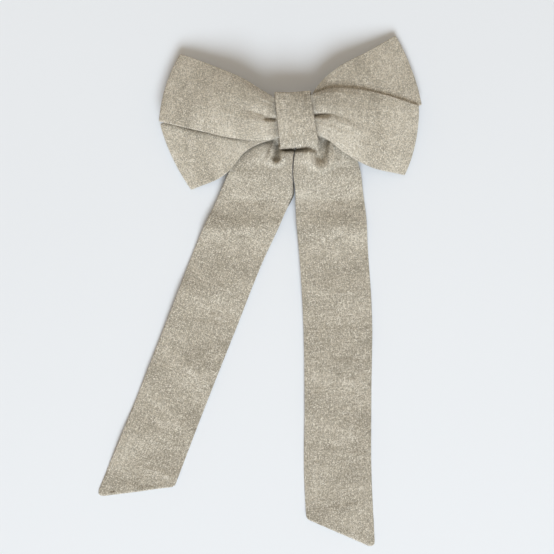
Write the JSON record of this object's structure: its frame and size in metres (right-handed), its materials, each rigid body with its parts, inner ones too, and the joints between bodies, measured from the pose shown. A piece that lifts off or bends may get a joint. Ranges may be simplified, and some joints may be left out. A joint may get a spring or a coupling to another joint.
{
  "type": "hair bow",
  "caption": "Long-tailed linen hair bow with crossed loops and a wrapped knot, sewn to a sprung barrette clip.",
  "frame": {"origin": "on the table plane, straight under the middle of the barrette and the knot", "axes": "+X along the barrette, +Y towards the top of the bow and away from its tails, +Z out of the bow's face"},
  "size_m": [0.2022, 0.2896, 0.0206],
  "materials": {
    "linen": "plain-weave natural linen with slubs",
    "sewing_thread": "matte cotton thread",
    "felt": "pressed wool felt",
    "nickel_plate": "satin nickel plate",
    "spring_steel": "bright spring steel"
  },
  "bodies": {
    "bow": {"front_loop_band": "linen", "rear_loop_band": "linen", "gathering_thread": "sewing_thread", "knot_wrap": "linen", "wrap_seam_stitches": "sewing_thread", "left_tail_root": "linen", "right_tail_root": "linen", "backing_pad": "felt", "pad_stitches": "sewing_thread", "barrette_base": "nickel_plate", "hinge_pin": "nickel_plate", "tension_bar": "spring_steel", "bar_rivets": "nickel_plate", "catch_web": "spring_steel", "catch_rivet": "nickel_plate"},
    "clasp_arm": {"clasp_arm": "nickel_plate"},
    "catch_wing_upper": {"catch_wing_upper": "spring_steel"},
    "catch_wing_lower": {"catch_wing_lower": "spring_steel"},
    "left_tail": {"left_tail": "linen", "left_tail_end_stitches": "sewing_thread"},
    "right_tail": {"right_tail": "linen", "right_tail_end_stitches": "sewing_thread"}
  },
  "joints": [
    {"name": "clasp_hinge", "type": "hinge", "parent": "bow", "child": "clasp_arm", "pos_m": [-0.037, 0, 0.0018], "axis": [0, 1, 0], "range_deg": [0, 80]},
    {"name": "upper_wing_pinch", "type": "hinge", "parent": "bow", "child": "catch_wing_upper", "pos_m": [0.0368, 0.00235, 0.0039], "axis": [-1, 0, 0], "range_deg": [0, 6], "stiffness_Nm_per_rad": 0.1},
    {"name": "lower_wing_pinch", "type": "hinge", "parent": "bow", "child": "catch_wing_lower", "pos_m": [0.0368, -0.00235, 0.0039], "axis": [1, 0, 0], "range_deg": [0, 6], "stiffness_Nm_per_rad": 0.1},
    {"name": "left_tail_sway", "type": "hinge", "parent": "bow", "child": "left_tail", "pos_m": [-0.006, -0.013, 0], "axis": [0, 0, 1], "range_deg": [-12, 4]},
    {"name": "right_tail_sway", "type": "hinge", "parent": "bow", "child": "right_tail", "pos_m": [0.006, -0.013, 0], "axis": [0, 0, 1], "range_deg": [-4, 12]}
  ]
}
